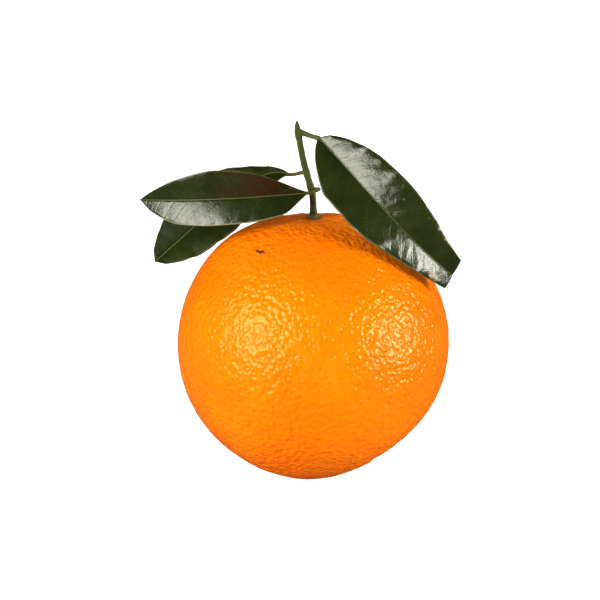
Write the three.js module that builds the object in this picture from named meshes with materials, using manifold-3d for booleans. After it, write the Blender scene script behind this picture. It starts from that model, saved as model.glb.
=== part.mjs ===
import * as THREE from "three";
import { mergeVertices } from "three/addons/utils/BufferGeometryUtils.js";
import Module from "manifold-3d";

// A clementine on its snipped twig with three leaves. Millimetres, +Z up, the front is toward -Y.
// The origin is the centre of the small flat spot under the fruit.

// Fruit: a ball whose radius rises and falls where it leans, dimples or creases.
const fruitRadius = 33.15;
const fruitCentreZ = 32.25;
const fruitColumns = 50;
const fruitRows = 34;
const flatCutDepth = 4;
const fruitRises = [
  { toward: [0, 0, 1], spread: 24, rise: -1.1 }, // flattened shoulder round the stem
  { toward: [0, 0, 1], spread: 8, rise: -1.05 }, // the stem cavity itself
  { toward: [0.16, 0.12, 0.98], spread: 5, rise: 0.45 }, // ridge beside the cavity
  { toward: [-0.62, 0, 0.78], spread: 14, rise: 0.55 }, // fuller left shoulder
  { toward: [0.62, -0.1, -0.78], spread: 20, rise: -1.5 }, // flattened lower right cheek
  { toward: [0.45, 0, -0.89], spread: 6, rise: -0.7 }, // short crease across that cheek
  { toward: [0.3, 0, -0.95], spread: 12, rise: 0.12 }, // fuller beside the flat spot
];

// Calyx: the small five-lobed star left between the fruit and the twig.
const calyxZ = 63.72;
const calyxRadius = 1.65;
const calyxNotch = 0.28;
const calyxDepth = 0.35;
const calyxBevel = 0.12;
const calyxSides = 40;

// Twig: a bent stick, thickest where it meets the calyx and where the top leaf leaves it,
// and cut to a slanting point.
const twigPath = [
  [0, 0, 64.62],
  [-0.05, 0, 66.5],
  [-0.3, 0, 69.6],
  [-1.3, 0, 73.2],
  [-2.35, 0, 77],
  [-3.15, 0, 80.9],
  [-3.75, 0, 84.2],
  [-4.25, 0, 87.2],
];
const twigRadii = [
  [0, 1.0],
  [0.1, 0.82],
  [0.28, 0.88],
  [0.4, 0.8],
  [0.8, 0.8],
  [0.88, 0.9],
  [0.96, 0.62],
  [1, 0.22],
];
const twigRows = 26;
const twigSides = 10;

// Leaves: a thin folded blade on a rib. The rib is a Bezier curve from the base of the blade to its tip,
// faces are the upper-side directions at its two ends, and widths are half widths at each station
// along it, on the two sides of the rib.
const stations = [0, 0.05, 0.18, 0.36, 0.56, 0.76, 0.92, 1];
const bladeThickness = 0.5;
const bladeRows = 22;
const bladeColumns = 8;
const ribSides = 8;
const ribRows = 16;
const ribTipRadius = 0.3;
const ribDrop = 0.35; // how far the rib hangs under the blade
const leaves = {
  leaf_right: {
    rib: [[1.2, -2, 83.2], [9.7, -8.5, 75.4], [18.9, -20.5, 64.7], [32.3, -9, 51.9]],
    faces: [[-0.02, -0.93, 0.36], [0.36, -0.83, -0.03]],
    widths: [[0.6, 2.8, 5.9, 8.2, 8.8, 7.4, 5.1, 4.2], [0.8, 2.8, 6.6, 9.6, 9.1, 6.5, 4.7, 3.9]],
    fold: [26, 22],
    curl: -14,
    petiole: [[-2.4, -0.15, 84.3], [-0.7, -1, 83.85]],
    petioleRadius: 0.5,
    color: 0x2f3f14,
  },
  leaf_front_left: {
    rib: [[-1.6, -3, 70.1], [-13.8, -7.5, 69.7], [-27.9, -6.5, 68.6], [-42, 3, 67.5]],
    faces: [[0.05, -0.9, 0.45], [-0.35, -0.9, 0]],
    widths: [[0.4, 1.8, 5.3, 6.4, 6.6, 6, 3.1, 0.2], [0.4, 1.1, 3.5, 6.1, 7.1, 5.4, 2.3, 0.2]],
    fold: [18, 20],
    curl: -10,
    petiole: [[1.5, -0.4, 70.75], [0.75, -1.7, 70.5], [-0.4, -2.35, 70.2]],
    petioleRadius: 0.5,
    color: 0x2c3b13,
  },
  leaf_back_left: {
    rib: [[-6.2, 3, 73.7], [-14.2, 8, 75.4], [-23.2, 12.5, 64.4], [-38.8, 10, 51.0]],
    faces: [[0, -0.8, 0.6], [-0.2, -0.8, 0.5]],
    widths: [[0.5, 2.1, 4.7, 7.3, 8.7, 7.8, 5, 0.5], [0.4, 0.8, 1.8, 4.2, 7.6, 7.7, 4.8, 0.5]],
    fold: [12, 12],
    curl: -10,
    petiole: [[-3.2, 0.6, 74.4], [-4.6, 1.7, 73.9]],
    petioleRadius: 0.5,
    color: 0x34441a,
  },
};

const wasm = await Module();
wasm.setup();

const degrees = THREE.MathUtils.degToRad;
const vector = (xyz) => new THREE.Vector3(...xyz);

function weld(geometry) {
  geometry.deleteAttribute("normal");
  geometry.deleteAttribute("uv");
  return mergeVertices(geometry, 1e-4);
}

function toManifold(geometry) {
  const welded = weld(geometry);
  return new wasm.Manifold(
    new wasm.Mesh({
      numProp: 3,
      vertProperties: welded.attributes.position.array,
      triVerts: new Uint32Array(welded.index.array),
    }),
  );
}

function fromManifold(solid) {
  const mesh = solid.getMesh();
  const geometry = new THREE.BufferGeometry();
  geometry.setAttribute("position", new THREE.BufferAttribute(mesh.vertProperties, 3));
  geometry.setIndex(new THREE.BufferAttribute(mesh.triVerts, 1));
  return geometry;
}

// Moves every point of a geometry by a function of its present place.
function reshape(geometry, place) {
  const position = geometry.attributes.position;
  const point = new THREE.Vector3();
  for (let i = 0; i < position.count; i++) {
    point.fromBufferAttribute(position, i);
    const moved = place(point);
    position.setXYZ(i, moved.x, moved.y, moved.z);
  }
  return geometry;
}

// A smooth curve through stations that never overshoots them.
function throughStations(xs, ys, x) {
  const last = xs.length - 1;
  const slope = (i) => (ys[i + 1] - ys[i]) / (xs[i + 1] - xs[i]);
  const tangent = (i) => {
    if (i === 0) return 1.5 * slope(0) - 0.5 * tangent(1);
    if (i === last) return 1.5 * slope(last - 1) - 0.5 * tangent(last - 1);
    const before = slope(i - 1);
    const after = slope(i);
    return before * after <= 0 ? 0 : (2 * before * after) / (before + after);
  };
  let i = 0;
  while (i < last - 1 && x > xs[i + 1]) i++;
  const span = xs[i + 1] - xs[i];
  const u = (x - xs[i]) / span;
  const v = 1 - u;
  return (
    v * v * (1 + 2 * u) * ys[i] +
    u * v * v * span * tangent(i) +
    u * u * (1 + 2 * v) * ys[i + 1] -
    u * u * v * span * tangent(i + 1)
  );
}

// A round rod whose middle follows a curve, from a cylinder that runs along its own y from -0.5 to 0.5.
function rodAlong(curve, radiusAt, sides, rows, reference) {
  const bar = new THREE.CylinderGeometry(1, 1, 1, sides, rows);
  return reshape(bar, ({ x, y, z }) => {
    const t = THREE.MathUtils.clamp(y + 0.5, 0, 1);
    const along = curve.getTangentAt(t);
    const across = new THREE.Vector3().crossVectors(along, reference).normalize();
    const outward = new THREE.Vector3().crossVectors(across, along);
    return curve
      .getPointAt(t)
      .addScaledVector(across, x * radiusAt(t))
      .addScaledVector(outward, z * radiusAt(t));
  });
}

function fruitGeometry() {
  const rises = fruitRises.map(({ toward, spread, rise }) => {
    return { toward: vector(toward).normalize(), spread: degrees(spread), rise };
  });
  const ball = new THREE.SphereGeometry(1, fruitColumns, fruitRows).rotateX(Math.PI / 2);
  reshape(ball, (point) => {
    const direction = point.clone().normalize();
    let radius = fruitRadius;
    for (const { toward, spread, rise } of rises) {
      const away = direction.angleTo(toward) / spread;
      radius += rise * Math.exp(-0.5 * away * away);
    }
    return direction.multiplyScalar(radius).setZ(direction.z + fruitCentreZ);
  });
  const ground = new THREE.BoxGeometry(fruitRadius, fruitRadius, flatCutDepth);
  ground.translate(0, 0, -flatCutDepth / 2);
  return fromManifold(toManifold(ball).subtract(toManifold(ground)));
}

function calyxGeometry() {
  const star = new THREE.Shape();
  for (let i = 0; i < calyxSides; i++) {
    const angle = (i / calyxSides) * 2 * Math.PI;
    const radius = calyxRadius - calyxBevel - calyxNotch * (0.5 - 0.5 * Math.cos(5 * angle));
    const x = radius * Math.cos(angle);
    const y = radius * Math.sin(angle);
    if (i === 0) star.moveTo(x, y);
    else star.lineTo(x, y);
  }
  star.closePath();
  const slab = new THREE.ExtrudeGeometry(star, {
    depth: calyxDepth,
    bevelSize: calyxBevel,
    bevelThickness: calyxBevel,
    bevelSegments: 1,
  });
  return weld(slab.translate(0, 0, calyxZ + calyxBevel));
}

function twigGeometry() {
  const path = new THREE.CatmullRomCurve3(twigPath.map(vector));
  const at = twigRadii.map(([t]) => t);
  const radii = twigRadii.map(([, radius]) => radius);
  const radiusAt = (t) => throughStations(at, radii, t);
  return weld(rodAlong(path, radiusAt, twigSides, twigRows, new THREE.Vector3(0, 1, 0)));
}

// The place on a leaf at t along the rib and side from -1 to 1 across it, lifted off the blade's middle.
function onBlade(leaf, rib, t, side, lift) {
  const along = rib.getTangent(t);
  const face = vector(leaf.faces[0]).lerp(vector(leaf.faces[1]), t);
  const across = new THREE.Vector3().crossVectors(along, face).normalize();
  const up = new THREE.Vector3().crossVectors(across, along);
  const halfWidth = throughStations(stations, leaf.widths[side < 0 ? 0 : 1], t);
  const fold = degrees(THREE.MathUtils.lerp(leaf.fold[0], leaf.fold[1], t));
  const bend = degrees(leaf.curl);
  const out = Math.abs(side);
  const reach = (halfWidth * (Math.sin(fold + bend * out) - Math.sin(fold))) / bend;
  const height = (halfWidth * (Math.cos(fold) - Math.cos(fold + bend * out))) / bend;
  return rib
    .getPoint(t)
    .addScaledVector(across, reach * Math.sign(side))
    .addScaledVector(up, height + lift);
}

function leafGeometry(leaf) {
  const rib = new THREE.CubicBezierCurve3(...leaf.rib.map(vector));
  const slab = new THREE.BoxGeometry(1, 2, bladeThickness, bladeRows, bladeColumns, 1);
  reshape(slab, ({ x, y, z }) => {
    const t = 0.5 - 0.5 * Math.cos(Math.PI * (x + 0.5)); // rows crowd toward the two ends
    return onBlade(leaf, rib, THREE.MathUtils.clamp(t, 0, 1), -y, z);
  });
  const ribPoints = [0, 0.25, 0.5, 0.75, 0.96].map((t) => onBlade(leaf, rib, t, 0, -ribDrop));
  const stalk = new THREE.CatmullRomCurve3([...leaf.petiole.map(vector), ...ribPoints]);
  const radiusAt = (t) => THREE.MathUtils.lerp(leaf.petioleRadius, ribTipRadius, t);
  const rod = rodAlong(stalk, radiusAt, ribSides, ribRows, vector(leaf.faces[0]));
  return fromManifold(toManifold(slab).add(toManifold(rod)));
}

function addPiece(name, geometry, color, roughness) {
  const material = new THREE.MeshStandardMaterial({ color, roughness, metalness: 0 });
  const mesh = new THREE.Mesh(geometry, material);
  mesh.name = name;
  group.add(mesh);
}

const group = new THREE.Group();
addPiece("fruit", fruitGeometry(), 0xf28a12, 0.45);
addPiece("calyx", calyxGeometry(), 0x5b5a2c, 0.8);
addPiece("twig", twigGeometry(), 0x56602c, 0.7);
for (const [name, leaf] of Object.entries(leaves)) {
  addPiece(name, leafGeometry(leaf), leaf.color, 0.35);
}

export default group;
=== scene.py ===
import math

import bpy
import numpy as np
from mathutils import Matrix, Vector, kdtree, noise


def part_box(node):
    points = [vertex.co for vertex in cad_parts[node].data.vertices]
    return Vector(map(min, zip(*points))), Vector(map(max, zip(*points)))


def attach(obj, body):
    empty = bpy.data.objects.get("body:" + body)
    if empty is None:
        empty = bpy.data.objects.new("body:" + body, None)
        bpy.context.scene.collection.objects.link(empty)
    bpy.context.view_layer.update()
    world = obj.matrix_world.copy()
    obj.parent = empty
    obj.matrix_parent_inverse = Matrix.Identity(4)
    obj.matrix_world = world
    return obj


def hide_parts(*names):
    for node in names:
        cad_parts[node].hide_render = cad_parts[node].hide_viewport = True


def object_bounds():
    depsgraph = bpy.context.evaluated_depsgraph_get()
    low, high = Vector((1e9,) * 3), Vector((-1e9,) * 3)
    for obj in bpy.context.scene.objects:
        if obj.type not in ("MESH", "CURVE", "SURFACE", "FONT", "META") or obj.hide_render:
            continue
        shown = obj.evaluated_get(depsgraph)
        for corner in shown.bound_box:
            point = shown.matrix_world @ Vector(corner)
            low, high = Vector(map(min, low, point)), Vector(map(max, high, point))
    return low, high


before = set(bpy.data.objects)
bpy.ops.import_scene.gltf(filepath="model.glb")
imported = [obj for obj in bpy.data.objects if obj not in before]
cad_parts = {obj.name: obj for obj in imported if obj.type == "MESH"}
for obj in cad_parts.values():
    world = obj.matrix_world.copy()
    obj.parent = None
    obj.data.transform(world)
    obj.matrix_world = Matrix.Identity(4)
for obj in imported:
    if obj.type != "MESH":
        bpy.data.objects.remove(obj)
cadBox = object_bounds()
mm = 0.001


def boxMiddle(node):
    low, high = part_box(node)
    return (Vector(low) + Vector(high)) / (2 * mm)


def boxFloor(node):
    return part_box(node)[0][2] / mm


def lerp(a, b, t):
    return a + (b - a) * t


def unit(v):
    return v / np.maximum(np.linalg.norm(v, axis=-1, keepdims=True), 1e-12)


def smoothStep(low, high, x):
    t = np.clip((x - low) / (high - low), 0, 1)
    return t * t * (3 - 2 * t)


def throughStations(xs, ys, x):
    # a smooth curve through stations that never overshoots them
    xs, ys = np.asarray(xs, float), np.asarray(ys, float)
    slope = (ys[1:] - ys[:-1]) / (xs[1:] - xs[:-1])
    tangent = np.zeros(len(xs))
    for i in range(1, len(xs) - 1):
        before, after = slope[i - 1], slope[i]
        tangent[i] = 0 if before * after <= 0 else 2 * before * after / (before + after)
    tangent[0] = 1.5 * slope[0] - 0.5 * tangent[1]
    tangent[-1] = 1.5 * slope[-1] - 0.5 * tangent[-2]
    k = np.clip(np.searchsorted(xs, x, side="right") - 1, 0, len(xs) - 2)
    span = xs[k + 1] - xs[k]
    u = (x - xs[k]) / span
    v = 1 - u
    return (v * v * (1 + 2 * u) * ys[k] + u * v * v * span * tangent[k]
            + u * u * (1 + 2 * v) * ys[k + 1] - u * u * v * span * tangent[k + 1])


def noiseAt(points, scale, seed, octaves=2):
    # smooth noise from about -1 to 1, one value a point; scale is in waves per mm
    shift = Vector((seed * 7.31, seed * -3.17, seed * 5.77))
    out = np.empty(len(points))
    for i, p in enumerate(points):
        out[i] = noise.fractal(Vector(p) * scale + shift, 0.6, 2.1, octaves)
    return out


def gridFaces(rows, columns, offset=0, flip=False):
    i, j = np.meshgrid(np.arange(rows - 1), np.arange(columns - 1), indexing="ij")
    a = (i * columns + j + offset).ravel()
    quad = np.stack([a, a + columns, a + columns + 1, a + 1], 1)
    return quad[:, ::-1] if flip else quad


def makePiece(name, verts, faces, attributes, materials, faceMaterial=None, node=None):
    mesh = bpy.data.meshes.new(name)
    mesh.from_pydata((np.asarray(verts) * mm).tolist(), [], [tuple(f) for f in faces])
    for label, values in attributes.items():
        layer = mesh.attributes.new(label, "FLOAT", "POINT")
        layer.data.foreach_set("value", np.asarray(values, np.float32))
    for material in materials:
        mesh.materials.append(material)
    if faceMaterial is not None:
        mesh.polygons.foreach_set("material_index", np.asarray(faceMaterial, np.int32))
    mesh.polygons.foreach_set("use_smooth", np.ones(len(mesh.polygons), bool))
    mesh.update()
    piece = bpy.data.objects.new(name, mesh)
    bpy.context.scene.collection.objects.link(piece)
    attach(piece, "root")
    if node:
        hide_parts(node)
    print("made", name, len(mesh.vertices), "points", len(mesh.polygons), "faces")
    return piece


def newGroup(name, inputs, outputs):
    group = bpy.data.node_groups.new(name, "ShaderNodeTree")
    for label, kind, value in inputs:
        socket = group.interface.new_socket(name=label, in_out="INPUT", socket_type=kind)
        if value is not None:
            socket.default_value = value
    for label, kind in outputs:
        group.interface.new_socket(name=label, in_out="OUTPUT", socket_type=kind)
    nodes = group.nodes
    return group, nodes.new("NodeGroupInput"), nodes.new("NodeGroupOutput")


def link(tree, source, target):
    tree.links.new(source, target)


def mathNode(tree, operation, a, b=None, c=None, clamp=False):
    node = tree.nodes.new("ShaderNodeMath")
    node.operation = operation
    node.use_clamp = clamp
    for i, value in enumerate((a, b, c)):
        if value is None:
            continue
        if isinstance(value, (int, float)):
            node.inputs[i].default_value = value
        else:
            link(tree, value, node.inputs[i])
    return node.outputs[0]


def rampNode(tree, value, low, high, outLow=0.0, outHigh=1.0):
    node = tree.nodes.new("ShaderNodeMapRange")
    node.interpolation_type = "SMOOTHSTEP"
    for label, number in (("From Min", low), ("From Max", high), ("To Min", outLow), ("To Max", outHigh)):
        if isinstance(number, (int, float)):
            node.inputs[label].default_value = number
        else:
            link(tree, number, node.inputs[label])
    link(tree, value, node.inputs["Value"])
    return node.outputs["Result"]


def mixColor(tree, mask, a, b, blend="MIX"):
    node = tree.nodes.new("ShaderNodeMix")
    node.data_type = "RGBA"
    node.blend_type = blend
    for socket, value in ((node.inputs[0], mask), (node.inputs[6], a), (node.inputs[7], b)):
        if isinstance(value, (int, float)):
            socket.default_value = value
        elif isinstance(value, tuple):
            socket.default_value = (*value, 1)
        else:
            link(tree, value, socket)
    return node.outputs[2]


def noiseNode(tree, vector, scale, detail=3.0, roughness=0.55):
    node = tree.nodes.new("ShaderNodeTexNoise")
    node.inputs["Detail"].default_value = detail
    node.inputs["Roughness"].default_value = roughness
    if isinstance(scale, (int, float)):
        node.inputs["Scale"].default_value = scale
    else:
        link(tree, scale, node.inputs["Scale"])
    link(tree, vector, node.inputs["Vector"])
    return node.outputs["Fac"]


def attributeNode(tree, name):
    node = tree.nodes.new("ShaderNodeAttribute")
    node.attribute_name = name
    return node.outputs["Fac"]


def objectPoint(tree):
    return tree.nodes.new("ShaderNodeTexCoord").outputs["Object"]


def buildMottle():
    # slow and quick colour change over a natural surface
    group, given, result = newGroup(
        "mottle",
        [("Vector", "NodeSocketVector", None), ("Dark", "NodeSocketColor", (0, 0, 0, 1)),
         ("Light", "NodeSocketColor", (1, 1, 1, 1)), ("Broad Scale", "NodeSocketFloat", 60.0),
         ("Fine Scale", "NodeSocketFloat", 600.0), ("Fine Share", "NodeSocketFloat", 0.35)],
        [("Color", "NodeSocketColor"), ("Value", "NodeSocketFloat")])
    broad = noiseNode(group, given.outputs["Vector"], given.outputs["Broad Scale"], 2)
    fine = noiseNode(group, given.outputs["Vector"], given.outputs["Fine Scale"], 3)
    steep = rampNode(group, broad, 0.32, 0.68)
    both = mathNode(group, "ADD",
                    mathNode(group, "MULTIPLY", fine, given.outputs["Fine Share"]),
                    mathNode(group, "MULTIPLY", steep,
                             mathNode(group, "SUBTRACT", 1.0, given.outputs["Fine Share"])), clamp=True)
    color = mixColor(group, both, given.outputs["Dark"], given.outputs["Light"])
    link(group, color, result.inputs["Color"])
    link(group, both, result.inputs["Value"])
    return group


def buildSpecks():
    # small scattered dots: lenticels, dust and sap marks
    group, given, result = newGroup(
        "specks",
        [("Vector", "NodeSocketVector", None), ("Scale", "NodeSocketFloat", 400.0),
         ("Size", "NodeSocketFloat", 0.2), ("Amount", "NodeSocketFloat", 0.3)],
        [("Mask", "NodeSocketFloat")])
    cells = group.nodes.new("ShaderNodeTexVoronoi")
    link(group, given.outputs["Vector"], cells.inputs["Vector"])
    link(group, given.outputs["Scale"], cells.inputs["Scale"])
    split = group.nodes.new("ShaderNodeSeparateColor")
    link(group, cells.outputs["Color"], split.inputs[0])
    chosen = mathNode(group, "LESS_THAN", split.outputs[0], given.outputs["Amount"])
    size = mathNode(group, "MULTIPLY", given.outputs["Size"],
                    mathNode(group, "ADD", split.outputs[1], 0.4))
    dot = rampNode(group, cells.outputs["Distance"], size, 0.0)
    link(group, mathNode(group, "MULTIPLY", dot, chosen, clamp=True), result.inputs["Mask"])
    return group


def buildGrain():
    # a fine height for the surface skin
    group, given, result = newGroup(
        "grain",
        [("Vector", "NodeSocketVector", None), ("Scale", "NodeSocketFloat", 900.0),
         ("Coarse Share", "NodeSocketFloat", 0.5)],
        [("Height", "NodeSocketFloat")])
    fine = noiseNode(group, given.outputs["Vector"], given.outputs["Scale"], 3, 0.6)
    coarse = noiseNode(group, given.outputs["Vector"],
                       mathNode(group, "MULTIPLY", given.outputs["Scale"], 0.3), 2)
    height = mathNode(group, "ADD", mathNode(group, "MULTIPLY", coarse, given.outputs["Coarse Share"]),
                      mathNode(group, "MULTIPLY", fine,
                               mathNode(group, "SUBTRACT", 1.0, given.outputs["Coarse Share"])))
    link(group, height, result.inputs["Height"])
    return group


def buildPores():
    # round dips close together, each with its own size, over a bumpy skin; 0 in a dip, 1 between
    group, given, result = newGroup(
        "pores",
        [("Vector", "NodeSocketVector", None), ("Scale", "NodeSocketFloat", 850.0),
         ("Reach", "NodeSocketFloat", 0.5)],
        [("Height", "NodeSocketFloat"), ("Dip", "NodeSocketFloat")])
    cells = group.nodes.new("ShaderNodeTexVoronoi")
    cells.feature = "SMOOTH_F1"
    cells.inputs["Smoothness"].default_value = 0.25
    link(group, given.outputs["Vector"], cells.inputs["Vector"])
    link(group, given.outputs["Scale"], cells.inputs["Scale"])
    rise = rampNode(group, cells.outputs["Distance"], 0.08, given.outputs["Reach"])
    big = noiseNode(group, given.outputs["Vector"], mathNode(group, "MULTIPLY", given.outputs["Scale"], 0.55), 1)
    height = mathNode(group, "ADD", mathNode(group, "MULTIPLY", rise, 0.7), mathNode(group, "MULTIPLY", big, 0.8))
    link(group, height, result.inputs["Height"])
    link(group, mathNode(group, "SUBTRACT", 1.0, rise), result.inputs["Dip"])
    return group


def buildVeins():
    # leaf veins from the distance along the rib and across it, both in mm
    group, given, result = newGroup(
        "leafVeins",
        [("Along", "NodeSocketFloat", 0.0), ("Across", "NodeSocketFloat", 0.0),
         ("Vector", "NodeSocketVector", None), ("Spacing", "NodeSocketFloat", 3.6),
         ("Slant", "NodeSocketFloat", 0.62), ("Width", "NodeSocketFloat", 0.16)],
        [("Side Veins", "NodeSocketFloat"), ("Net", "NodeSocketFloat"), ("Rib", "NodeSocketFloat")])
    away = mathNode(group, "ABSOLUTE", given.outputs["Across"])
    lean = mathNode(group, "MULTIPLY", away, given.outputs["Slant"])
    lean = mathNode(group, "ADD", lean, mathNode(group, "MULTIPLY", mathNode(group, "MULTIPLY", away, away), 0.022))
    side = mathNode(group, "MULTIPLY", mathNode(group, "GREATER_THAN", given.outputs["Across"], 0.0), 0.45)
    wobble = mathNode(group, "MULTIPLY", mathNode(group, "SUBTRACT", noiseNode(group, given.outputs["Vector"], 220.0, 2), 0.5), 0.5)
    phase = mathNode(group, "DIVIDE", mathNode(group, "SUBTRACT", given.outputs["Along"], lean), given.outputs["Spacing"])
    phase = mathNode(group, "ADD", mathNode(group, "ADD", phase, side), wobble)
    near = mathNode(group, "MULTIPLY", mathNode(group, "PINGPONG", phase, 0.5), given.outputs["Spacing"])
    line = rampNode(group, near, given.outputs["Width"], 0.0)
    line = mathNode(group, "MULTIPLY", line, rampNode(group, away, 7.5, 1.5, 0.35, 1.0))
    link(group, line, result.inputs["Side Veins"])
    cells = group.nodes.new("ShaderNodeTexVoronoi")
    cells.feature = "DISTANCE_TO_EDGE"
    cells.inputs["Scale"].default_value = 950.0
    link(group, given.outputs["Vector"], cells.inputs["Vector"])
    link(group, rampNode(group, cells.outputs["Distance"], 0.12, 0.0), result.inputs["Net"])
    link(group, rampNode(group, away, 0.22, 0.05), result.inputs["Rib"])
    return group


mottle = buildMottle()
specks = buildSpecks()
grain = buildGrain()
pores = buildPores()
leafVeins = buildVeins()
print("shader groups ready")


def useGroup(tree, group, **values):
    node = tree.nodes.new("ShaderNodeGroup")
    node.node_tree = group
    for label, value in values.items():
        socket = node.inputs[label.replace("_", " ")]
        if isinstance(value, (int, float)):
            socket.default_value = value
        elif isinstance(value, tuple):
            socket.default_value = (*value, 1)
        else:
            link(tree, value, socket)
    return node.outputs


def newMaterial(name):
    material = bpy.data.materials.new(name)
    material.use_nodes = True
    tree = material.node_tree
    return material, tree, tree.nodes["Principled BSDF"]


def bumpNode(tree, height, strength, distance, below=None):
    node = tree.nodes.new("ShaderNodeBump")
    node.inputs["Strength"].default_value = strength
    node.inputs["Distance"].default_value = distance
    link(tree, height, node.inputs["Height"])
    if below is not None:
        link(tree, below, node.inputs["Normal"])
    return node.outputs["Normal"]


# the fruit: one ball with its hollows, puckers and oil glands
fruit = {
    "radius": 33.15,
    "centreHeight": 32.25,     # above the flat it rests on
    "cells": 128,              # per side of each of the six patches
    "rises": [                 # direction, spread in degrees, rise in mm
        ((0, 0, 1), 24, -1.1),
        ((0, 0, 1), 8, -1.05),
        ((0.16, 0.12, 0.98), 5, 0.45),
        ((-0.62, 0, 0.78), 14, 0.55),
        ((0.62, -0.1, -0.78), 20, -1.5),
        ((0.45, 0, -0.89), 6, -0.7),
        ((0.3, 0, -0.95), 12, 0.12),
    ],
    "crease": ((0.515, 0, -0.857), (0.05, 0.995, 0.03), 0.9, 9, -1.1),   # middle, line along, half width, half length, depth
    "swell": 0.12,             # slow unevenness
    "pebble": 0.085,           # 3 mm lumps
    "glandGap": 1.9,
    "glandRadius": 0.58,
    "glandDepth": 0.15,
    "poreScale": 880.0,        # per metre
    "poreDepth": 0.00027,
    "wrinkles": 13,
    "wrinkleDepth": 0.28,
    "scars": [((-0.398, -0.47, 0.79), 0.95, 0.26), ((-0.365, -0.49, 0.792), 0.45, 0.24)],
    "dots": [((0.56, -0.79, 0.02), 0.25), ((0.1, -0.86, 0.5), 0.12), ((-0.2, -0.9, -0.38), 0.14)],
    "skinDark": (0.93, 0.168, 0.0),
    "skinLight": (0.97, 0.222, 0.0),
    # a darker orange for the gland pits and pores: painted shade in the pits
    "pitShadeColor": (0.90, 0.135, 0.0),
    "stemColor": (0.42, 0.085, 0.02),
    "scarColor": (0.035, 0.010, 0.004),
}


def ballDirections(cells):
    side = np.tan(np.linspace(-math.pi / 4, math.pi / 4, cells + 1))
    u, v = np.meshgrid(side, side, indexing="ij")
    one = np.ones_like(u)
    patches = [(one, u, v), (-one, -u, v), (-u, one, v), (u, -one, v), (-v, u, one), (v, u, -one)]
    points, faces = [], []
    for i, patch in enumerate(patches):
        points.append(np.stack(patch, -1).reshape(-1, 3))
        faces.append(gridFaces(cells + 1, cells + 1, i * (cells + 1) ** 2))
    points = unit(np.concatenate(points))
    keys, first, back = np.unique(np.round(points, 7), axis=0, return_index=True, return_inverse=True)
    return points[first], back.reshape(-1)[np.concatenate(faces)]


def angleBetween(directions, toward):
    return np.degrees(np.arccos(np.clip(directions @ unit(np.array(toward, float)), -1, 1)))


def glandPits(directions, spec):
    # oil glands: a spiral of jittered points, each with its own size and depth
    rng = np.random.default_rng(11)
    count = int(4 * math.pi * spec["radius"] ** 2 / (spec["glandGap"] ** 2 * 0.87))
    k = np.arange(count) + 0.5
    polar = np.arccos(1 - 2 * k / count)
    turn = math.pi * (1 + 5 ** 0.5) * k
    centres = np.stack([np.sin(polar) * np.cos(turn), np.sin(polar) * np.sin(turn), np.cos(polar)], 1)
    centres = unit(centres + rng.normal(0, 0.24 * spec["glandGap"] / spec["radius"], centres.shape))
    size = spec["glandRadius"] * rng.uniform(0.7, 1.3, count)
    depth = spec["glandDepth"] * rng.uniform(0.35, 1.25, count)
    depth[rng.random(count) < 0.1] *= 1.5
    tree = kdtree.KDTree(count)
    for i, c in enumerate(centres):
        tree.insert(c, i)
    tree.balance()
    drop = np.zeros(len(directions))
    for i, d in enumerate(directions):
        for _, j, away in tree.find_n(d, 3):
            r = away * spec["radius"] / size[j]
            drop[i] += depth[j] * math.exp(-r * r * 1.2)
    return drop


def makeFruit(spec):
    directions, faces = ballDirections(spec["cells"])
    radius = np.full(len(directions), spec["radius"], float)
    for toward, spread, rise in spec["rises"]:
        radius += rise * np.exp(-0.5 * (angleBetween(directions, toward) / spread) ** 2)
    middle, line, halfWidth, halfLength, depth = spec["crease"]
    middle, line = unit(np.array(middle)), unit(np.array(line))
    offset = (directions - middle) * spec["radius"]
    alongCrease = offset @ line
    acrossCrease = offset @ np.cross(middle, line)
    thisSide = directions @ middle > 0
    radius += thisSide * depth * np.exp(-(acrossCrease / halfWidth) ** 2 - (alongCrease / halfLength) ** 2)

    surface = directions * spec["radius"]
    radius += spec["swell"] * noiseAt(surface, 0.055, 1, 2)
    radius += spec["pebble"] * noiseAt(surface, 0.33, 2, 2)
    # puckers that run down from the stem
    polar = angleBetween(directions, (0, 0, 1))
    turn = np.arctan2(directions[:, 1], directions[:, 0])
    wander = noiseAt(surface, 0.16, 3, 2)
    pucker = np.cos(spec["wrinkles"] * turn + 2.2 * wander) * (0.6 + 0.6 * np.cos(3 * turn + 1.0))
    radius += spec["wrinkleDepth"] * pucker * np.exp(-((polar - 8) / 4.5) ** 2)
    pits = glandPits(directions, spec)
    calm = 1 - 0.5 * np.exp(-(polar / 7) ** 2)
    radius -= pits * calm

    verts = directions * radius[:, None]
    centre = Vector((0, 0, boxFloor("fruit") + spec["centreHeight"]))
    verts += np.array(centre)
    floor = boxFloor("fruit")
    verts[:, 2] = np.maximum(verts[:, 2], floor)

    scar = np.zeros(len(verts))
    rough = noiseAt(surface, 1.6, 5, 2)
    for toward, halfLength, halfHeight in spec["scars"]:
        toward = unit(np.array(toward))
        offset = (directions - toward) * spec["radius"]
        sideways = offset @ np.array((0.96, 0, -0.28))
        upward = offset @ np.array((0.28, 0, 0.96))
        inward = offset @ np.array((0, 1, 0))
        near = (sideways / halfLength) ** 2 + (upward / halfHeight) ** 2 + (inward / 3) ** 2
        scar = np.maximum(scar, smoothStep(1.6, 0.5, near + 0.6 * rough))
    for toward, size in spec["dots"]:
        away = angleBetween(directions, toward) * math.radians(1) * spec["radius"]
        scar = np.maximum(scar, smoothStep(size * 1.5, size * 0.6, away))
    attributes = {
        "pits": np.clip(pits / spec["glandDepth"], 0, 1),
        "stemNear": np.clip(1 - polar / 30, 0, 1),
        "scar": scar,
    }
    material = rindMaterial(spec)
    return makePiece("clementine_fruit", verts, faces, attributes, [material], node="fruit")


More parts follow.
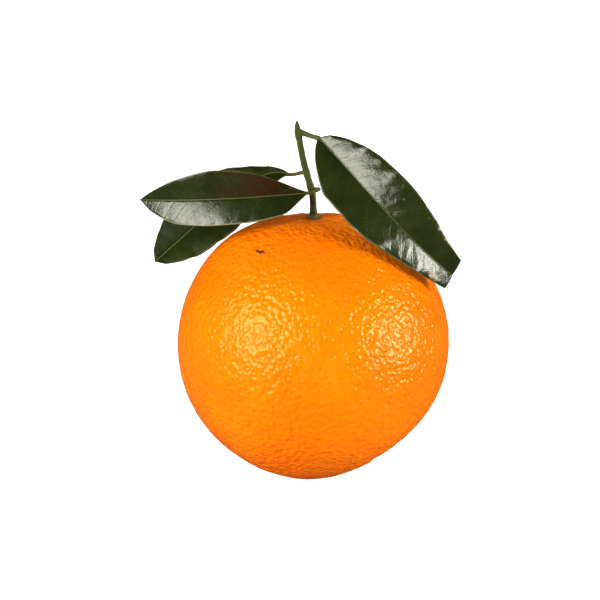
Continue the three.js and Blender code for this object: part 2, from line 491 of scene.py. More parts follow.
def rindMaterial(spec):
    material, tree, shader = newMaterial("pebbled orange rind")
    point = objectPoint(tree)
    pits = attributeNode(tree, "pits")
    stem = attributeNode(tree, "stemNear")
    scar = attributeNode(tree, "scar")
    base = useGroup(tree, mottle, Vector=point, Dark=spec["skinDark"], Light=spec["skinLight"],
                    Broad_Scale=45.0, Fine_Scale=420.0, Fine_Share=0.3)
    skin = useGroup(tree, pores, Vector=point, Scale=spec["poreScale"], Reach=0.82)
    # painted shade: the gland pits and the small pores are darkened by their depth
    color = mixColor(tree, mathNode(tree, "MULTIPLY", pits, 0.2), base["Color"], spec["pitShadeColor"])
    color = mixColor(tree, mathNode(tree, "MULTIPLY", skin["Dip"], 0.3), color, spec["pitShadeColor"])
    stain = mathNode(tree, "MULTIPLY", rampNode(tree, stem, 0.62, 1.0),
                     rampNode(tree, noiseNode(tree, point, 500.0, 3), 0.3, 0.7, 0.55, 1.0))
    color = mixColor(tree, mathNode(tree, "MULTIPLY", stain, 0.55), color, spec["stemColor"])
    color = mixColor(tree, scar, color, spec["scarColor"])
    link(tree, color, shader.inputs["Base Color"])
    waxy = noiseNode(tree, point, 260.0, 3)
    roughness = rampNode(tree, waxy, 0.3, 0.7, 0.15, 0.24)
    roughness = mathNode(tree, "ADD", roughness, mathNode(tree, "MULTIPLY", scar, 0.3))
    link(tree, roughness, shader.inputs["Roughness"])
    fine = useGroup(tree, grain, Vector=point, Scale=1500.0, Coarse_Share=0.6)["Height"]
    normal = bumpNode(tree, fine, 0.35, 0.00012)
    normal = bumpNode(tree, skin["Height"], 1.0, spec["poreDepth"], normal)
    link(tree, normal, shader.inputs["Normal"])
    shader.inputs["Subsurface Weight"].default_value = 0.1
    shader.inputs["Subsurface Radius"].default_value = (1.0, 0.3, 0.02)
    shader.inputs["Subsurface Scale"].default_value = 0.0012
    shader.inputs["Specular IOR Level"].default_value = 0.45
    shader.inputs["Specular Tint"].default_value = (1.0, 0.92, 0.34, 1)
    shader.inputs["IOR"].default_value = 1.47
    return material


makeFruit(fruit)


def catmull(points, t):
    # a point a smooth curve passes at each t from 0 to 1, spaced by length, with its direction
    points = np.asarray(points, float)
    ends = np.vstack([2 * points[0] - points[1], points, 2 * points[-1] - points[-2]])
    fine = np.linspace(0, len(points) - 1 - 1e-9, 40 * (len(points) - 1) + 1)
    k = fine.astype(int)
    u = (fine - k)[:, None]
    a, b, c, d = ends[k], ends[k + 1], ends[k + 2], ends[k + 3]
    path = 0.5 * (2 * b + (c - a) * u + (2 * a - 5 * b + 4 * c - d) * u ** 2 + (3 * b - a - 3 * c + d) * u ** 3)
    run = np.concatenate([[0], np.cumsum(np.linalg.norm(np.diff(path, axis=0), axis=1))])
    at = np.asarray(t) * run[-1]
    place = np.stack([np.interp(at, run, path[:, i]) for i in range(3)], 1)
    step = run[-1] * 0.004
    ahead = np.stack([np.interp(np.clip(at + step, 0, run[-1]), run, path[:, i]) for i in range(3)], 1)
    behind = np.stack([np.interp(np.clip(at - step, 0, run[-1]), run, path[:, i]) for i in range(3)], 1)
    return place, unit(ahead - behind), run[-1]


def tube(points, radiusAt, rows, sides, reference=(0, 1, 0), shape=None, slantEnd=0.0):
    # a closed stick: rings along a curve, with a point in the middle of each end
    t = np.linspace(0, 1, rows)
    place, along, length = catmull(points, t)
    across = unit(np.cross(along, np.array(reference, float)))
    outward = np.cross(across, along)
    turn = np.linspace(0, 2 * math.pi, sides, endpoint=False)
    tt, aa = np.meshgrid(t, turn, indexing="ij")
    radius = radiusAt(tt)
    if shape is not None:
        radius = radius * shape(tt, aa, length)
    verts = (place[:, None] + across[:, None] * (np.cos(aa) * radius)[..., None]
             + outward[:, None] * (np.sin(aa) * radius)[..., None])
    if slantEnd:
        lift = slantEnd * np.cos(aa) * smoothStep(0.9, 1.0, tt)
        verts = verts + along[:, None] * lift[..., None]
    flat = verts.reshape(-1, 3)
    faces = []
    for i in range(rows - 1):
        for j in range(sides):
            k = (j + 1) % sides
            faces.append((i * sides + j, (i + 1) * sides + j, (i + 1) * sides + k, i * sides + k))
    first, last = len(flat), len(flat) + 1
    flat = np.vstack([flat, verts[0].mean(0), verts[-1].mean(0)])
    top = (rows - 1) * sides
    for j in range(sides):
        k = (j + 1) % sides
        faces.append((first, j, k))
        faces.append((last, top + k, top + j))
    tAll = np.concatenate([tt.ravel(), [0, 1]])
    return flat, faces, tAll


stemFoot = Vector((0, 0, boxFloor("calyx")))      # where the stem leaves the fruit


def fromFoot(points):
    return np.asarray(points, float) + np.array(stemFoot)


# the twig, given from the foot of the stem upward
twig = {
    "path": [(0.02, 0, -0.55), (0, 0, 0.9), (-0.05, 0, 2.8), (-0.3, 0, 5.9), (-1.3, 0, 9.5), (-2.35, 0, 13.3),
             (-3.15, 0, 17.2), (-3.75, 0, 20.5), (-4.2, 0, 23.3)],
    "radii": [(0, 1.15), (0.06, 0.98), (0.14, 0.8), (0.28, 0.86), (0.33, 0.95), (0.4, 0.8), (0.47, 0.88),
              (0.53, 0.79), (0.8, 0.78), (0.87, 0.93), (0.94, 0.7), (1, 0.28)],
    "ridges": 0.07,
    "slant": 0.35,
    "buds": [((-0.75, -0.5, 7.5), 0.42), ((-2.4, 0.35, 11.5), 0.42), ((-3.0, -0.2, 20.7), 0.45)],
    "young": (0.050, 0.062, 0.010),
    "old": (0.040, 0.033, 0.008),
    "cut": (0.035, 0.028, 0.012),
    # the lighter ridge colour is a painted highlight along the twig's ridges
    "ridgeHighlightColor": (0.17, 0.19, 0.06),
}


def barkMaterial(name, spec, ridgeHighlightShare):
    material, tree, shader = newMaterial(name)
    point = objectPoint(tree)
    up = attributeNode(tree, "along")
    ridge = attributeNode(tree, "ridge")
    young = useGroup(tree, mottle, Vector=point, Dark=tuple(0.45 * c for c in spec["young"]),
                     Light=tuple(1.45 * c for c in spec["young"]), Broad_Scale=260.0, Fine_Scale=1800.0, Fine_Share=0.5)
    old = useGroup(tree, mottle, Vector=point, Dark=tuple(0.45 * c for c in spec["old"]),
                   Light=tuple(2.0 * c for c in spec["old"]), Broad_Scale=420.0, Fine_Scale=2200.0, Fine_Share=0.5)
    edge = mathNode(tree, "ADD", up, mathNode(tree, "MULTIPLY", mathNode(tree, "SUBTRACT", noiseNode(tree, point, 350.0, 2), 0.5), 0.25))
    color = mixColor(tree, rampNode(tree, edge, 0.05, 0.42), old["Color"], young["Color"])
    # painted highlight: the ridges and buds are mixed toward a lighter green
    color = mixColor(tree, mathNode(tree, "MULTIPLY", ridge, ridgeHighlightShare), color, spec["ridgeHighlightColor"])
    dots = useGroup(tree, specks, Vector=point, Scale=1300.0, Size=0.22, Amount=0.3)["Mask"]
    color = mixColor(tree, mathNode(tree, "MULTIPLY", dots, 0.6), color, tuple(2.2 * c for c in spec["old"]))
    color = mixColor(tree, rampNode(tree, up, 0.965, 0.985), color, spec["cut"])
    link(tree, color, shader.inputs["Base Color"])
    link(tree, rampNode(tree, noiseNode(tree, point, 900.0, 2), 0.3, 0.7, 0.45, 0.68), shader.inputs["Roughness"])
    fine = useGroup(tree, grain, Vector=point, Scale=2600.0, Coarse_Share=0.5)["Height"]
    normal = bumpNode(tree, fine, 0.8, 0.00014)
    link(tree, normal, shader.inputs["Normal"])
    shader.inputs["Specular IOR Level"].default_value = 0.12
    return material


def makeTwig(spec):
    at = [t for t, _ in spec["radii"]]
    radii = [r for _, r in spec["radii"]]

    def shape(t, a, length):
        angular = spec["ridges"] * np.cos(3 * a + 1.5 * t + 0.4)
        streak = 0.025 * np.cos(11 * a + 6 * np.sin(9 * t)) + 0.02 * np.sin(60 * t + 3 * a)
        return 1 + angular + streak

    verts, faces, along = tube(fromFoot(spec["path"]), lambda t: throughStations(at, radii, t), 150, 28, shape=shape,
                               slantEnd=-spec["slant"])
    turn = np.tile(np.linspace(0, 2 * math.pi, 28, endpoint=False), 150)
    # where the painted ridge highlight goes on the twig
    ridge = np.concatenate([smoothStep(0.75, 1.0, np.cos(3 * turn + 1.5 * along[:-2] + 0.4)), [0, 0]])
    allVerts, allFaces, allAlong, allRidge = [verts], list(faces), [along], [ridge]
    start = len(verts)
    for place, size in spec["buds"]:
        bud, budFaces = budShape(fromFoot([place])[0], size)
        allFaces += [tuple(k + start for k in f) for f in budFaces]
        allVerts.append(bud)
        allAlong.append(np.full(len(bud), 0.5))
        allRidge.append(np.full(len(bud), 0.2))
        start += len(bud)
    material = barkMaterial("green bark", spec, 0.7)
    return makePiece("twig_stick", np.vstack(allVerts), allFaces,
                     {"along": np.concatenate(allAlong), "ridge": np.concatenate(allRidge)},
                     [material], node="twig")


def budShape(place, size):
    # a little pointed bud, sitting in the angle of a leaf stalk
    heights = [-0.7, -0.2, 0.4, 1.0, 1.5]
    path = [place + np.array((0, 0, h * size)) for h in heights]
    swell = [0.35, 0.75, 0.8, 0.5, 0.08]
    verts, faces, _ = tube(path, lambda t: size * throughStations([0, 0.25, 0.5, 0.75, 1], swell, t), 14, 14)
    return verts, faces


makeTwig(twig)


# the dry star between the fruit and the twig
calyx = {
    "radius": 1.75,
    "notch": 0.42,
    "thickness": 0.42,
    "rings": 14,
    "sides": 100,
    "colorDark": (0.06, 0.055, 0.025),
    "colorLight": (0.19, 0.18, 0.085),
}


def makeCalyx(spec):
    turn = np.linspace(0, 2 * math.pi, spec["sides"], endpoint=False)
    out = np.linspace(0.02, 1, spec["rings"])
    oo, aa = np.meshgrid(out, turn, indexing="ij")
    lobe = 0.5 - 0.5 * np.cos(5 * aa + 0.3)
    reach = (spec["radius"] - spec["notch"] * lobe ** 0.7 + 0.06 * np.sin(3 * aa + 1)) * oo
    x, y = reach * np.cos(aa), reach * np.sin(aa)
    edge = smoothStep(0.82, 1.0, oo)
    top = spec["thickness"] * (1 - 0.45 * oo ** 2) * (1 - 0.75 * edge) + 0.05 * np.cos(10 * aa) * oo * (1 - edge)
    under = -0.3 * (1 - edge) - 0.12
    lift = 0.02
    upper = np.stack([x, y, top + lift], -1).reshape(-1, 3)
    lower = np.stack([x, y, under + lift], -1).reshape(-1, 3)
    sides, rings, count = spec["sides"], spec["rings"], len(upper)
    faces = []
    for i in range(rings - 1):
        for j in range(sides):
            k = (j + 1) % sides
            a, b, c, d = i * sides + j, (i + 1) * sides + j, (i + 1) * sides + k, i * sides + k
            faces.append((a, b, c, d))
            faces.append((d + count, c + count, b + count, a + count))
    rim = (rings - 1) * sides
    for j in range(sides):
        k = (j + 1) % sides
        faces.append((rim + j, rim + j + count, rim + k + count, rim + k))
    faces.append(tuple(range(sides)))
    faces.append(tuple(count + j for j in reversed(range(sides))))
    material, tree, shader = newMaterial("dry calyx")
    point = objectPoint(tree)
    color = useGroup(tree, mottle, Vector=point, Dark=spec["colorDark"], Light=spec["colorLight"],
                     Broad_Scale=900.0, Fine_Scale=3500.0, Fine_Share=0.5)["Color"]
    rim = attributeNode(tree, "outward")
    color = mixColor(tree, rampNode(tree, rim, 0.75, 1.0, 0.0, 0.7), color, (0.09, 0.04, 0.015))
    link(tree, color, shader.inputs["Base Color"])
    link(tree, rampNode(tree, noiseNode(tree, point, 2500.0, 2), 0.3, 0.7, 0.55, 0.8), shader.inputs["Roughness"])
    fine = useGroup(tree, grain, Vector=point, Scale=5200.0, Coarse_Share=0.6)["Height"]
    link(tree, bumpNode(tree, fine, 0.6, 0.00012), shader.inputs["Normal"])
    return makePiece("calyx_star", fromFoot(np.vstack([upper, lower])), faces,
                     {"outward": np.concatenate([oo.ravel(), oo.ravel()])}, [material], node="calyx")


makeCalyx(calyx)


# the leaves; stations run from the base of the blade, 0, to its tip, 1
stations = [0, 0.05, 0.18, 0.36, 0.56, 0.76, 0.92, 1]
leafCommon = {
    "rows": 230,
    "halfColumns": 32,
    "thickness": 0.34,
    "edgeThickness": 0.16,
    "ribGroove": 0.11,
    "ribKeel": 0.42,
    "veinGap": 3.6,
    "veinSlant": 0.62,
    "upperDark": (0.008, 0.014, 0.0016),
    "upperLight": (0.021, 0.029, 0.0034),
    "under": (0.065, 0.088, 0.026),
    "ribColor": (0.125, 0.145, 0.045),
    # the margin's own pale colour, also used for the painted rim light along the margins of the upper side
    "edgeAndRimLightColor": (0.20, 0.22, 0.10),
    "blushColor": (0.030, 0.010, 0.0018),
    "damageColor": (0.40, 0.31, 0.23),
    "stalkColor": (0.062, 0.066, 0.013),
}
# margin: how strong the pale margin line is on each side of the blade, partly painted rim light
leaves = {
    "leaf_right": {
        "rib": [(1.2, -2, 19.48), (9.7, -8.5, 11.68), (18.9, -20.5, 0.98), (32.3, -9, -11.82)],
        "faces": [(-0.02, -0.93, 0.36), (0.36, -0.83, -0.03)],
        "widths": [[0.3, 2.8, 5.9, 8.2, 8.8, 7.4, 5.1, 4.2], [0.4, 2.8, 6.6, 9.6, 9.1, 6.5, 4.7, 3.9]],
        "fold": (26, 22), "curl": (-14, -14),
        "stalk": [(-3.75, 0, 20.9), (-2.6, -0.1, 20.5), (-0.9, -0.95, 19.95)],
        "stalkRadius": (0.7, 0.55),
        "quilt": 0.04, "crinkle": 0.045, "wave": (0.3, 11.0, 0.3), "lump": 0.05, "shine": 0.7, "margin": (0.15, 0.3),
        "twistEarly": 0.26,
        "tipPush": (0.0, 1.4, 1.0),
        "seed": 3, "blush": (0.0, 0.3), "scars": [(43.4, 3.2, 1.0), (38.0, -6.9, 0.8), (40.6, -6.0, 0.75)],
    },
    "leaf_front_left": {
        "rib": [(-1.6, -3, 6.38), (-13.8, -7.5, 5.98), (-27.9, -6.5, 4.88), (-42, 3, 3.78)],
        "faces": [(0.05, -0.9, 0.45), (-0.35, -0.9, 0)],
        "widths": [[0.3, 1.8, 5.3, 6.4, 6.6, 6, 3.1, 0.05], [0.3, 1.1, 3.5, 6.1, 7.1, 5.4, 2.3, 0.05]],
        "fold": (18, 20), "curl": (-12, -1),
        "stalk": [(0.1, -0.2, 6.75), (1.25, -0.75, 6.95), (0.75, -1.75, 6.8), (-0.4, -2.4, 6.5)],
        "stalkRadius": (0.48, 0.4),
        "quilt": 0.012, "crinkle": 0.016, "wave": (0.06, 9.0, 0.1), "lump": 0.025, "shine": 0.7, "margin": (0.9, 0.2),
        "twistEarly": 0.0,
        "tipPush": (0.0, 0.5, 0.0),
        "seed": 8, "blush": (0.9, 0.52), "scars": [],
    },
    "leaf_back_left": {
        "rib": [(-6.2, 3, 9.98), (-14.2, 8, 11.68), (-23.2, 12.5, 0.68), (-38.8, 10, -12.72)],
        "faces": [(0, -0.8, 0.6), (-0.2, -0.8, 0.5)],
        "widths": [[0.3, 2.1, 4.7, 7.3, 8.7, 8.0, 5.6, 2.6], [0.3, 0.8, 1.8, 4.2, 7.6, 8.0, 5.6, 2.6]],
        "fold": (12, 12), "curl": (-10, -10),
        "stalk": [(-1.75, 0, 10.9), (-3.0, 0.5, 10.75), (-4.6, 1.6, 10.2)],
        "stalkRadius": (0.5, 0.42),
        "quilt": 0.03, "crinkle": 0.012, "wave": (0.25, 10.0, 0.5), "lump": 0.04, "shine": 0.04, "margin": (0.3, 0.3),
        "twistEarly": 0.0,
        "tipPush": (-1.3, 0.4, -1.3),
        "seed": 14, "blush": (0.2, 0.5), "scars": [],
    },
}


def ribPlace(rib, t):
    a, b, c, d = (np.asarray(p, float) for p in rib)
    t = np.asarray(t)[:, None]
    place = (1 - t) ** 3 * a + 3 * (1 - t) ** 2 * t * b + 3 * (1 - t) * t * t * c + t ** 3 * d
    along = 3 * (1 - t) ** 2 * (b - a) + 6 * (1 - t) * t * (c - b) + 3 * t * t * (d - c)
    return place, unit(along)


def bladeSurface(leaf, t, side):
    # the blade's middle surface, its upward direction, and the signed distance from the rib
    place, along = ribPlace(leaf["rib"], t)
    first, last = (np.array(f) for f in leaf["faces"])
    turned = t + leaf["twistEarly"] * np.sin(math.pi * t)
    face = first + (last - first) * turned[:, None]
    across = unit(np.cross(along, face))
    up = np.cross(across, along)
    halfWidth = np.where(side < 0, throughStations(stations, leaf["widths"][0], t),
                         throughStations(stations, leaf["widths"][1], t))
    out = np.abs(side)
    fold = np.radians(lerp(leaf["fold"][0], leaf["fold"][1], t))
    bend = np.radians(np.where(side < 0, *leaf["curl"]))
    reach = halfWidth * (np.sin(fold + bend * out) - np.sin(fold)) / bend
    height = halfWidth * (np.cos(fold) - np.cos(fold + bend * out)) / bend
    verts = place + across * (reach * np.sign(side))[:, None] + up * height[:, None]
    return verts, up, halfWidth * side


def makeLeaf(name, leaf, common):
    rows, half = common["rows"], common["halfColumns"]
    tRow = 0.5 - 0.5 * np.cos(math.pi * np.linspace(0, 1, rows))
    tRow = 0.35 * np.linspace(0, 1, rows) + 0.65 * tRow
    u = np.linspace(-1, 1, 2 * half + 1)
    sRow = np.sign(u) * np.abs(u) ** 1.35
    tt, ss = np.meshgrid(tRow, sRow, indexing="ij")
    t, s = tt.ravel(), ss.ravel()
    surface, up, across = bladeSurface(leaf, t, s)
    ribLine, _ = ribPlace(leaf["rib"], tRow)
    run = np.concatenate([[0], np.cumsum(np.linalg.norm(np.diff(ribLine, axis=0), axis=1))])
    length = run[-1]
    along = np.repeat(run, 2 * half + 1)
    columns = 2 * half + 1
    grid = surface.reshape(rows, columns, 3)
    normal = unit(np.cross(np.gradient(grid, axis=1), np.gradient(grid, axis=0))).reshape(-1, 3)
    normal *= np.sign((normal * up).sum(1))[:, None]

    # heights over the blade: quilting between the side veins, crinkles that follow them, a wavy margin
    away = np.abs(across)
    seed = leaf["seed"]
    flat = np.stack([along, across, np.full_like(along, seed)], 1)
    wobble = noiseAt(flat, 0.22, seed, 2) * 0.3
    phase = (along - common["veinSlant"] * away - 0.022 * away ** 2) / common["veinGap"]
    phase = phase + 0.45 * (across > 0) + wobble
    swell = np.cos(2 * math.pi * phase)
    bySide = 0.7 + 0.5 * noiseAt(flat, 0.1, seed + 1, 1)
    grow = smoothStep(0.3, 2.2, away) * (1 - 0.4 * smoothStep(0.8, 1.0, np.abs(s)))
    height = -leaf["quilt"] * swell * bySide * grow
    stretched = np.stack([phase * common["veinGap"] * 0.62, away * 0.13, np.sign(across) * 3.1 + seed], 1)
    height += leaf["crinkle"] * noiseAt(stretched, 1.0, seed + 2, 3) * grow
    height += leaf["lump"] * noiseAt(flat, 0.35, seed + 3, 2)
    size, waves, shift = leaf["wave"]
    ripple = np.sin(2 * math.pi * (along / waves + shift + 0.37 * (across > 0))) + 0.5 * np.sin(2 * math.pi * along / (0.43 * waves))
    taper = smoothStep(0.0, 0.12, t) * smoothStep(1.0, 0.9, t)
    height += size * ripple * np.abs(s) ** 3 * taper
    groove = common["ribGroove"] * np.exp(-(across / 0.28) ** 2)
    keel = common["ribKeel"] * np.exp(-(across / 0.42) ** 2) * (1 - 0.75 * t)
    keel += 0.05 * np.exp(-(np.abs(phase - np.round(phase)) * common["veinGap"] / 0.2) ** 2) * grow
    thin = lerp(common["thickness"], common["edgeThickness"], smoothStep(0.85, 1.0, np.abs(s)))
    _, ahead = ribPlace(leaf["rib"], t)
    surface = surface + ahead * (np.interp(s, [-1, 0, 1], leaf["tipPush"]) * smoothStep(0.8, 1.0, t))[:, None]
    upper = surface + normal * (height + thin / 2 - groove)[:, None]
    lower = surface + normal * (height - thin / 2 - keel)[:, None]

    count = len(upper)
    faces = [gridFaces(rows, columns), gridFaces(rows, columns, count, flip=True)]
    bladeFaces = len(faces[0])
    i = np.arange(rows - 1)
    j = np.arange(columns - 1)
    leftEdge, rightEdge = i * columns, i * columns + columns - 1
    rim = [np.stack([leftEdge, leftEdge + count, leftEdge + columns + count, leftEdge + columns], 1),
           np.stack([rightEdge, rightEdge + columns, rightEdge + columns + count, rightEdge + count], 1),
           np.stack([j, j + 1, j + 1 + count, j + count], 1)]
    last = (rows - 1) * columns + j
    rim.append(np.stack([last, last + count, last + 1 + count, last + 1], 1))
    faces = [tuple(f) for f in np.concatenate(faces + rim)]
    which = [0] * bladeFaces + [1] * bladeFaces + [2] * (len(faces) - 2 * bladeFaces)
    verts = np.vstack([upper, lower])
    # the winding follows the way the upper side faces
    a, b, c = (verts[k] for k in faces[bladeFaces // 2 + half][:3])
    if np.dot(np.cross(b - a, c - a), normal[faces[bladeFaces // 2 + half][0]]) < 0:
        faces = [f[::-1] for f in faces]

    # the stalk, from inside the twig to under the blade, with narrow wings
    join, _ = ribPlace(leaf["rib"], np.array([0.0, 0.03, 0.08]))
    lowered = join - np.array([up[0] * 0.12, up[0] * 0.2, up[0] * 0.3])
    path = np.vstack([leaf["stalk"], lowered])
    thick, slim = leaf["stalkRadius"]

    def stalkRadius(t):
        return lerp(thick, slim, smoothStep(0.0, 0.5, t)) * (1 - 0.55 * smoothStep(0.72, 1.0, t)) + 0.1 * np.exp(-(t / 0.1) ** 2)

    def stalkShape(t, a, run):
        return 1 + 0.16 * np.cos(2 * a) * smoothStep(0.3, 0.7, t) + 0.03 * np.cos(7 * a + 9 * t)

    stalk, stalkFaces, stalkAlong = tube(path, stalkRadius, 46, 18, leaf["faces"][0], stalkShape)
    faces += [tuple(k + len(verts) for k in f) for f in stalkFaces]
    which += [3] * len(stalkFaces)

    scar = np.zeros(count)
    for scarAlong, scarAcross, scarSize in leaf["scars"]:
        near = np.hypot((along - scarAlong) / 1.5, across - scarAcross) / scarSize
        scar = np.maximum(scar, smoothStep(1.25, 0.5, near + 0.5 * noiseAt(flat, 1.3, seed + 6, 2)))
    zeros = np.zeros(len(stalk))
    attributes = {
        "along": np.concatenate([along, along, stalkAlong]),
        "across": np.concatenate([across, across, zeros + 5]),
        "outward": np.concatenate([np.abs(s), np.abs(s), zeros]),
        "scar": np.concatenate([scar, 0.6 * scar, zeros]),
        "ridge": np.concatenate([np.zeros(2 * count), zeros + 0.1]),
    }
    verts = fromFoot(np.vstack([verts, stalk]))
    return makePiece(name + "_blade", verts, faces, attributes,
                     [upperMaterial(name, leaf, common, length), underMaterial(name, common),
                      edgeMaterial(name, common), stalkMaterial(name, common)],
                     which, node=name)


def upperMaterial(name, leaf, common, length):
    material, tree, shader = newMaterial(name + " glossy upper side")
    point = objectPoint(tree)
    along, across = attributeNode(tree, "along"), attributeNode(tree, "across")
    outward, scar = attributeNode(tree, "outward"), attributeNode(tree, "scar")
    veins = useGroup(tree, leafVeins, Along=along, Across=across, Vector=point,
                     Spacing=common["veinGap"], Slant=common["veinSlant"], Width=0.3)
    color = useGroup(tree, mottle, Vector=point, Dark=common["upperDark"], Light=common["upperLight"],
                     Broad_Scale=130.0, Fine_Scale=900.0, Fine_Share=0.4)["Color"]
    # brown blush toward the base
    blushStrength, blushReach = leaf["blush"]
    blush = rampNode(tree, along, length * blushReach * 1.25, length * blushReach * 0.5)
    blush = mathNode(tree, "MULTIPLY", blush, rampNode(tree, noiseNode(tree, point, 160.0, 3), 0.3, 0.6))
    blush = mathNode(tree, "MULTIPLY", blush, rampNode(tree, across, -0.6, 0.4))
    color = mixColor(tree, mathNode(tree, "MULTIPLY", blush, blushStrength), color, common["blushColor"])
    color = mixColor(tree, mathNode(tree, "MULTIPLY", veins["Net"], 0.02), color, common["ribColor"])
    color = mixColor(tree, mathNode(tree, "MULTIPLY", veins["Side Veins"], 0.05), color, common["ribColor"])
    color = mixColor(tree, mathNode(tree, "MULTIPLY", veins["Rib"], 0.75), color, common["ribColor"])
    # a pale line along the margins, stronger on one side: partly the margin's own pale colour, partly painted rim light
    pale = rampNode(tree, across, -0.5, 0.5, *leaf["margin"])
    color = mixColor(tree, mathNode(tree, "MULTIPLY", rampNode(tree, outward, 0.945, 0.975), pale), color, common["edgeAndRimLightColor"])
    dust = useGroup(tree, specks, Vector=point, Scale=520.0, Size=0.16, Amount=0.16)["Mask"]
    color = mixColor(tree, mathNode(tree, "MULTIPLY", dust, 0.4), color, (0.24, 0.26, 0.15))
    patch = mathNode(tree, "MULTIPLY", scar, rampNode(tree, noiseNode(tree, point, 900.0, 3), 0.35, 0.55, 0.25, 1.0))
    color = mixColor(tree, patch, color, common["damageColor"])
    link(tree, color, shader.inputs["Base Color"])
    gloss = rampNode(tree, noiseNode(tree, point, 420.0, 4, 0.65), 0.3, 0.7, 0.17, 0.28)
    gloss = mathNode(tree, "ADD", gloss, mathNode(tree, "MULTIPLY", patch, 0.3))
    link(tree, gloss, shader.inputs["Roughness"])
    fine = useGroup(tree, grain, Vector=point, Scale=2600.0, Coarse_Share=0.55)["Height"]
    normal = bumpNode(tree, fine, 1.0, 0.00008)
    sunk = mathNode(tree, "ADD", mathNode(tree, "MULTIPLY", veins["Net"], -0.35), mathNode(tree, "MULTIPLY", veins["Side Veins"], -0.8))
    normal = bumpNode(tree, sunk, 0.5, 0.00006, normal)
    link(tree, normal, shader.inputs["Normal"])
    shader.inputs["Specular IOR Level"].default_value = leaf["shine"]
    shader.inputs["Specular Tint"].default_value = (1.0, 0.98, 0.84, 1)
    shader.inputs["IOR"].default_value = 1.48
    return material


def underMaterial(name, common):
    material, tree, shader = newMaterial(name + " matte underside")
    point = objectPoint(tree)
    along, across = attributeNode(tree, "along"), attributeNode(tree, "across")
    veins = useGroup(tree, leafVeins, Along=along, Across=across, Vector=point,
                     Spacing=common["veinGap"], Slant=common["veinSlant"], Width=0.35)
    color = useGroup(tree, mottle, Vector=point, Dark=tuple(0.75 * c for c in common["under"]),
                     Light=tuple(1.2 * c for c in common["under"]), Broad_Scale=150.0, Fine_Scale=1100.0, Fine_Share=0.45)["Color"]
    color = mixColor(tree, mathNode(tree, "MULTIPLY", veins["Net"], 0.25), color, common["ribColor"])
    color = mixColor(tree, mathNode(tree, "MULTIPLY", veins["Side Veins"], 0.6), color, common["ribColor"])
    color = mixColor(tree, veins["Rib"], color, common["ribColor"])
    glands = useGroup(tree, specks, Vector=point, Scale=1500.0, Size=0.2, Amount=0.5)["Mask"]
    color = mixColor(tree, mathNode(tree, "MULTIPLY", glands, 0.35), color, tuple(0.4 * c for c in common["under"]))
    link(tree, color, shader.inputs["Base Color"])
    link(tree, rampNode(tree, noiseNode(tree, point, 700.0, 2), 0.3, 0.7, 0.5, 0.68), shader.inputs["Roughness"])
    fine = useGroup(tree, grain, Vector=point, Scale=2400.0, Coarse_Share=0.5)["Height"]
    normal = bumpNode(tree, fine, 0.5, 0.0001)
    normal = bumpNode(tree, veins["Net"], 0.4, 0.00006, normal)
    link(tree, normal, shader.inputs["Normal"])
    return material


def edgeMaterial(name, common):
    material, tree, shader = newMaterial(name + " pale margin")
    point = objectPoint(tree)
    color = useGroup(tree, mottle, Vector=point, Dark=tuple(0.6 * c for c in common["edgeAndRimLightColor"]),
                     Light=common["edgeAndRimLightColor"], Broad_Scale=300.0, Fine_Scale=1500.0, Fine_Share=0.5)["Color"]
    link(tree, color, shader.inputs["Base Color"])
    link(tree, rampNode(tree, noiseNode(tree, point, 800.0, 2), 0.3, 0.7, 0.4, 0.6), shader.inputs["Roughness"])
    return material


def stalkMaterial(name, common):
    material, tree, shader = newMaterial(name + " green stalk")
    point = objectPoint(tree)
    color = useGroup(tree, mottle, Vector=point, Dark=tuple(0.65 * c for c in common["stalkColor"]),
                     Light=tuple(1.4 * c for c in common["stalkColor"]), Broad_Scale=350.0, Fine_Scale=2000.0, Fine_Share=0.5)["Color"]
    link(tree, color, shader.inputs["Base Color"])
    link(tree, rampNode(tree, noiseNode(tree, point, 900.0, 2), 0.3, 0.7, 0.4, 0.58), shader.inputs["Roughness"])
    shader.inputs["Specular IOR Level"].default_value = 0.12
    fine = useGroup(tree, grain, Vector=point, Scale=2600.0, Coarse_Share=0.5)["Height"]
    link(tree, bumpNode(tree, fine, 0.5, 0.0001), shader.inputs["Normal"])
    return material


for leafName, leafSpec in leaves.items():
    makeLeaf(leafName, leafSpec, leafCommon)


# the floor, the lights and the camera
studio = {
    "floorColor": 0.62,        # to matte surfaces
    "floorGloss": 0.05,        # in gloss
    "floorGlow": 0.86,         # to the eye, so the sweep reads as plain white
    "fill": 0.35,              # how bright the room is to matte surfaces
    "gloom": 0.015,            # and how bright it looks in gloss
    "leftLight": {"turn": -49, "rise": 13, "distance": 700, "width": 440, "height": 640, "power": 9.0},
    "rightLight": {"turn": 73, "rise": 5, "distance": 700, "width": 340, "height": 420, "power": 7.6},
    "backLight": {"turn": 172, "rise": 14, "distance": 900, "width": 700, "height": 500, "power": 8.0},
    "tilt": 12,
    "cameraDistance": 600,
    "lens": 147.8,
    "aim": (-3.29, 0.0, 43.2),
}


def lookFrom(obj, place, target):
    obj.location = Vector(place) * mm
    obj.rotation_euler = (Vector(target) - Vector(place)).to_track_quat("-Z", "Y").to_euler()


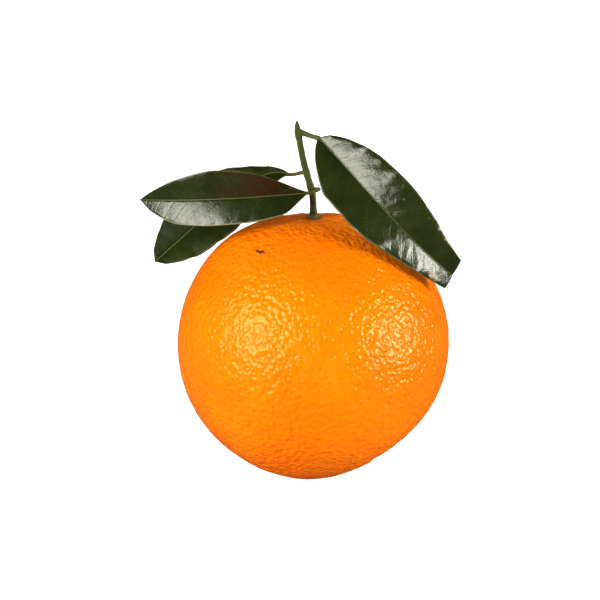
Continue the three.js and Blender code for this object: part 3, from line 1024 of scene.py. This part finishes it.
def makeStage(spec):
    size = 4000 * mm
    mesh = bpy.data.meshes.new("floor")
    mesh.from_pydata([(-size, -size, 0), (size, -size, 0), (size, size, 0), (-size, size, 0)], [], [(0, 1, 2, 3)])
    floor = bpy.data.objects.new("floor", mesh)
    floor.location.z = cadBox[0][2] - 0.00005
    bpy.context.scene.collection.objects.link(floor)
    material, tree, shader = newMaterial("pale floor")
    path = tree.nodes.new("ShaderNodeLightPath")
    matte, gloss = (tuple(spec[k] for _ in range(3)) for k in ("floorColor", "floorGloss"))
    link(tree, mixColor(tree, path.outputs["Is Glossy Ray"], matte, gloss), shader.inputs["Base Color"])
    shader.inputs["Roughness"].default_value = 0.9
    shader.inputs["Specular IOR Level"].default_value = 0.0
    glow = mathNode(tree, "MULTIPLY", path.outputs["Is Camera Ray"], spec["floorGlow"])
    link(tree, mixColor(tree, glow, (0.0, 0.0, 0.0), (1.0, 1.0, 1.0)), shader.inputs["Emission Color"])
    shader.inputs["Emission Strength"].default_value = 1.0
    mesh.materials.append(material)

    world = bpy.data.worlds.new("plain room")
    world.use_nodes = True
    tree = world.node_tree
    tree.nodes.clear()
    out = tree.nodes.new("ShaderNodeOutputWorld")
    path = tree.nodes.new("ShaderNodeLightPath")
    strength = rampNode(tree, path.outputs["Is Glossy Ray"], 0.0, 1.0, spec["fill"], spec["gloom"])
    strength = rampNode(tree, path.outputs["Is Camera Ray"], 0.0, 1.0, strength, 1.0)
    background = tree.nodes.new("ShaderNodeBackground")
    background.inputs["Color"].default_value = (1, 1, 1, 1)
    link(tree, strength, background.inputs["Strength"])
    link(tree, background.outputs[0], out.inputs["Surface"])
    bpy.context.scene.world = world

    middle = boxMiddle("fruit")
    for name in ("leftLight", "rightLight", "backLight"):
        lamp = spec[name]
        data = bpy.data.lights.new(name, "AREA")
        data.shape = "RECTANGLE"
        data.size = lamp["width"] * mm
        data.size_y = lamp["height"] * mm
        data.energy = lamp["power"]
        obj = bpy.data.objects.new(name, data)
        bpy.context.scene.collection.objects.link(obj)
        turn, rise = math.radians(lamp["turn"]), math.radians(lamp["rise"])
        away = Vector((math.sin(turn) * math.cos(rise), -math.cos(turn) * math.cos(rise), math.sin(rise)))
        lookFrom(obj, middle + away * lamp["distance"], middle)
        obj.visible_camera = False
        obj.visible_glossy = name != "backLight"      # it lifts the shade and makes no glint

    data = bpy.data.cameras.new("camera")
    data.lens = spec["lens"]
    data.sensor_width = 36
    data.clip_start = 0.01
    camera = bpy.data.objects.new("camera", data)
    bpy.context.scene.collection.objects.link(camera)
    tilt = math.radians(spec["tilt"])
    target = Vector(spec["aim"])
    place = target + Vector((0, -math.cos(tilt), math.sin(tilt))) * spec["cameraDistance"]
    lookFrom(camera, place, target)
    bpy.context.scene.camera = camera
    bpy.context.scene.view_settings.view_transform = "Standard"
    print("stage ready")


makeStage(studio)
